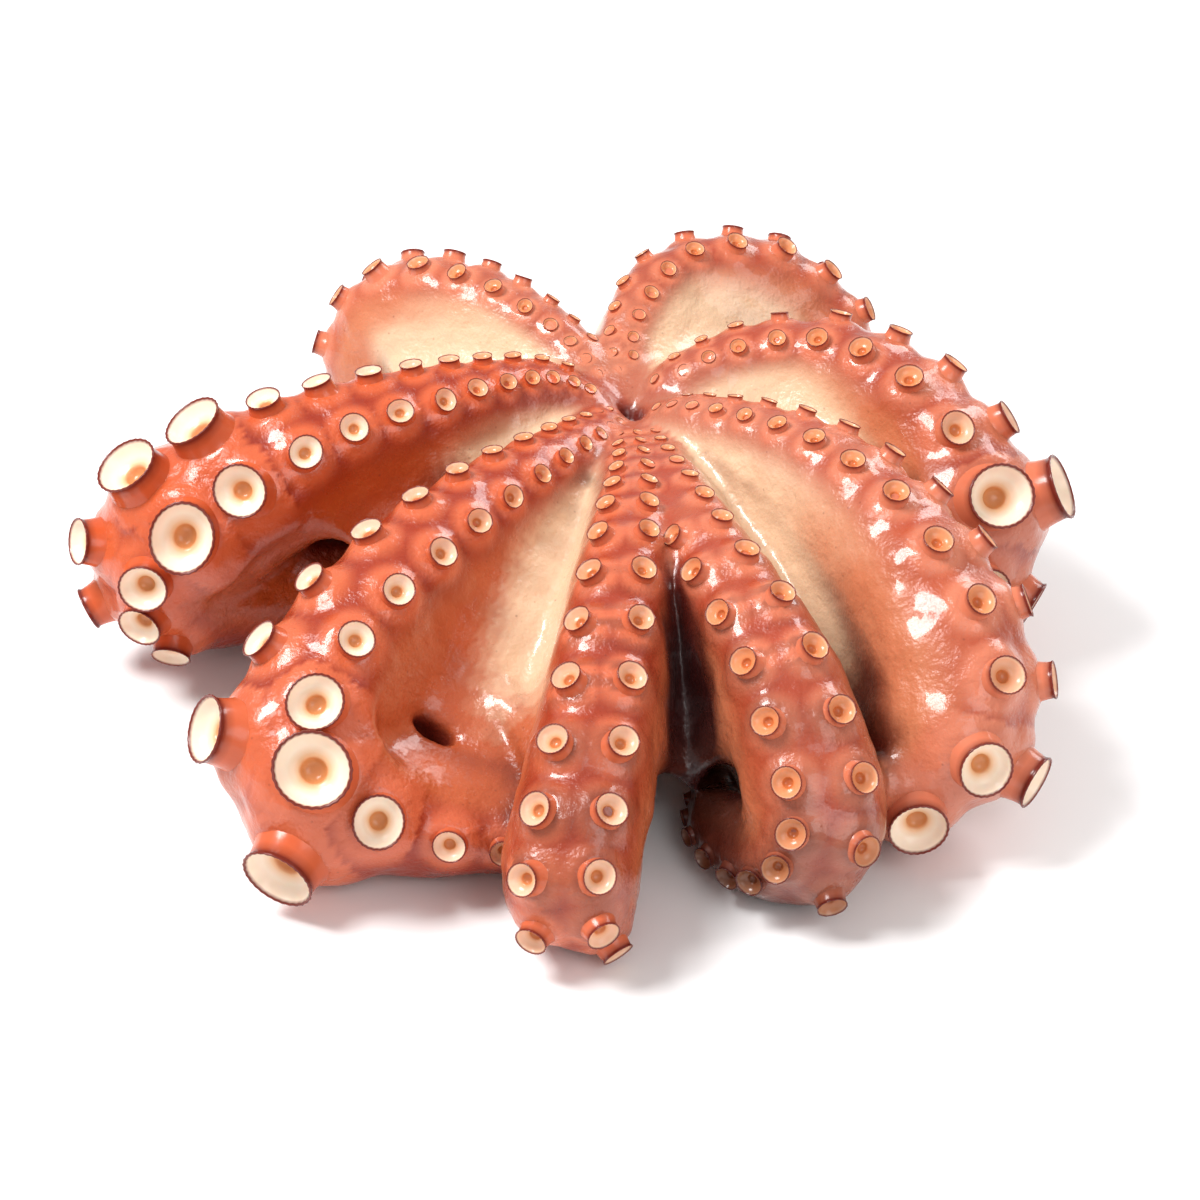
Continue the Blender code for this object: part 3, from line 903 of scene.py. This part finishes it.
skin_finish = Finish("octopus_skin", Subsurface_Weight=0.12, Subsurface_Scale=0.002, IOR=1.4,
                     Coat_Roughness=0.07)
skin_finish.shader.inputs["Subsurface Radius"].default_value = (1.0, 0.4, 0.25)
f = skin_finish
cloud = f.noise(38.0, 4.0)
patch = f.noise(150.0, 3.0)
web, oral, stalk, tone = f.stored("web"), f.stored("oral"), f.stored("stalk"), f.stored("tone")
fold, deep, under, along = f.stored("fold"), f.stored("deep"), f.stored("under"), f.stored("share")
warm, cream = f.stored("warm"), f.stored("cream")
drift = (cloud - 0.5) * 0.9
warmth = (warm + drift * 0.5).clamp()
flank_colour = f.mix(warmth, FLANK_PALE, FLANK_WARM)
brick = f.mix(warmth, BRICK_PALE, BRICK_WARM)
lit_mound = f.mix(warmth, MOUND_LIT_PALE, MOUND_LIT_WARM)
near_mouth = ((0.58 - along - warm * 0.32) * 4.0 + drift).clamp()
flank = f.mix(near_mouth, flank_colour, CREAM)
strip = (oral * (0.9 + warm * 0.4) + drift * 0.9 - 0.10).clamp()
colour = f.mix(strip, flank, brick)
# pink skin with a painted highlight on each mound under a sucker
colour = f.mix((stalk * 1.1 + (patch - 0.5) * 0.2).clamp(), colour, lit_mound)
colour = f.mix((cream * 1.05 + drift * cream * (1.0 - cream) * 2.0).clamp(), colour, CREAM)
# painted shade: maroon in small folds and in wider hollows between arms
colour = f.mix((fold * 0.9 + (patch - 0.5) * 0.3).clamp() * (1.0 - stalk * 0.4) * (1.0 - cream * 0.7) * 0.9,
               colour, MAROON)
colour = f.mix((deep * 1.2 - 0.2).clamp() * (1.0 - cream * 0.9) * 0.75, colour, MAROON)
# dark skin with painted shade: the front web that lies in shadow goes dark
colour = f.mix((tone * (web + deep * 0.6)).clamp() * 0.95, colour, DARK_AND_SHADE)
colour = f.mix((under * 0.6).clamp(), colour, MAROON)
# the curled tip darkens: dark skin with painted shade where it lies in shadow
colour = f.mix((f.stored("tip") * 0.85).clamp(), colour, DARK_AND_SHADE)
dots = f.add("TexVoronoi", {"feature": "F1"}, Vector=f.add("TexCoord", output=3), Scale=210.0)
speck = (1.0 - dots * 9.0).clamp()
colour = f.mix(speck * 0.5, colour, SPECK)
f.set("Base Color", colour)
f.set("Roughness", (0.30 + (cloud - 0.5) * 0.25 + (0.5 - patch) * 0.25).clamp())
f.set("Coat Weight", (0.45 + (cloud - 0.5) * 1.2).clamp())
grain = f.noise(900.0, 4.0)
f.set("Normal", f.add("Bump", Strength=0.5, Distance=0.001, Height=grain * 0.4 + f.noise(260.0, 3.0) * 1.6))
skin_mesh.materials.append(skin_finish.material)
print("skin nodes:", len(skin_finish.tree.nodes))

# %% [markdown]
# ## The cups' finish
# A cup is the palest part: white inside when it is big, peach when it is small, and orange down in
# the pit. Its outer wall is as red as the mound that carries it, with the same painted highlight, and has a
# thin dark lip. `ring` runs from the foot of the wall, over the lip and down into the pit, so masks and ramps
# along it paint all of that.

# %% Cup material
LIP_RED = paint(110, 40, 30)
LIP_FROM, LIP_FADE = 0.14, 0.12
INSIDE_FROM, INSIDE_FADE = 0.47, 0.06

cup_finish = Finish("sucker_cup", Subsurface_Weight=0.2, Subsurface_Scale=0.002, IOR=1.42, Roughness=0.22)
cup_finish.shader.inputs["Subsurface Radius"].default_value = (1.0, 0.5, 0.3)
g = cup_finish
white_stops = [
    (0.50, paint(246, 226, 206)), (0.66, paint(246, 226, 204)), (0.75, paint(232, 186, 146)),
    (0.87, paint(214, 144, 92)), (1.0, paint(206, 134, 84))]
peach_stops = [
    (0.48, paint(240, 200, 168)), (0.58, paint(226, 156, 112)), (0.75, paint(214, 132, 84)),
    (0.87, paint(206, 118, 68)), (1.0, paint(196, 104, 58))]
ring = g.stored("ring")
inside = g.mix(g.stored("big"), g.add("ValToRGB", {"stops": peach_stops}, Fac=ring),
               g.add("ValToRGB", {"stops": white_stops}, Fac=ring))
# the wall takes the mound's pink with its painted highlight
wall = g.mix(g.stored("warm"), MOUND_LIT_PALE, MOUND_LIT_WARM)
lip = ((ring - LIP_FROM) * (1.0 / LIP_FADE)).clamp()
within = ((ring - INSIDE_FROM) * (1.0 / INSIDE_FADE)).clamp()
wall = g.mix(lip, wall, LIP_RED)
cup_colour = g.mix(within, wall, inside)
# cups on the shadowed tip darken too, with the same painted shade
g.set("Base Color", g.mix(g.stored("tip") * 0.8, cup_colour, DARK_AND_SHADE))
g.set("Normal", g.add("Bump", Strength=0.08, Distance=0.0004, Height=g.noise(700.0, 3.0)))
for cups in (small_cups, large_cups):
    cups.data.materials.append(cup_finish.material)
print("cup nodes:", len(cup_finish.tree.nodes))

# %% [markdown]
# ## Hand the pieces to the frame
# Everything is one soft body, so each piece rides on the root and stands for the CAD solid,
# which is hidden.

# %% Ride and replace
for piece in (skin, small_cups, large_cups):
    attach(piece, "root")
    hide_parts("octopus")
print("three pieces ride on the root")

# %% [markdown]
# ## Table, light and camera
# A plain white table and large soft lamps keep the wet highlights broad. The key lamp stands at
# the front left, a second one behind on the right draws the rims.

# %% Studio
bpy.ops.mesh.primitive_plane_add(size=6.0)
table = bpy.context.object
table.name = "table"
table_finish = Finish("table_white", Roughness=0.6, Base_Color=(0.93, 0.93, 0.93, 1.0))
table.data.materials.append(table_finish.material)


def lamp(name, at_mm, size, watts):
    light = bpy.data.lights.new(name, "AREA")
    light.shape = "SQUARE"
    light.size = size
    light.energy = watts
    made = bpy.data.objects.new(name, light)
    made.location = Vector(at_mm) * MM
    made.rotation_euler = (Vector((0, 0, 30)) * MM - made.location).to_track_quat("-Z", "Y").to_euler()
    bpy.context.scene.collection.objects.link(made)


lamp("key", (-650, -100, 1100), 0.45, 18.0)
lamp("rim", (700, 800, 700), 0.5, 6.0)
lamp("fill", (700, -1000, 900), 0.9, 7.0)
world = bpy.data.worlds.new("studio")
world.use_nodes = True
world.node_tree.nodes["Background"].inputs["Color"].default_value = (1.0, 1.0, 1.0, 1.0)
world.node_tree.nodes["Background"].inputs["Strength"].default_value = 0.5
bpy.context.scene.world = world
bpy.context.scene.view_settings.view_transform = "Standard"

CAMERA_TARGET = np.array([10.0, -17.0, 40.0]) + SHIFT
CAMERA_UP = 35.0
CAMERA_AWAY = 1000.0
camera = bpy.data.cameras.new("camera")
camera.lens = 100.0
camera.sensor_width = 36.0
view = bpy.data.objects.new("camera", camera)
rise = math.radians(CAMERA_UP)
view.location = Vector(CAMERA_TARGET + CAMERA_AWAY * np.array([0.0, -math.cos(rise), math.sin(rise)])) * MM
view.rotation_euler = (math.pi / 2 - rise, 0.0, 0.0)
bpy.context.scene.collection.objects.link(view)
bpy.context.scene.camera = view
print("camera at", [round(value, 3) for value in view.location])
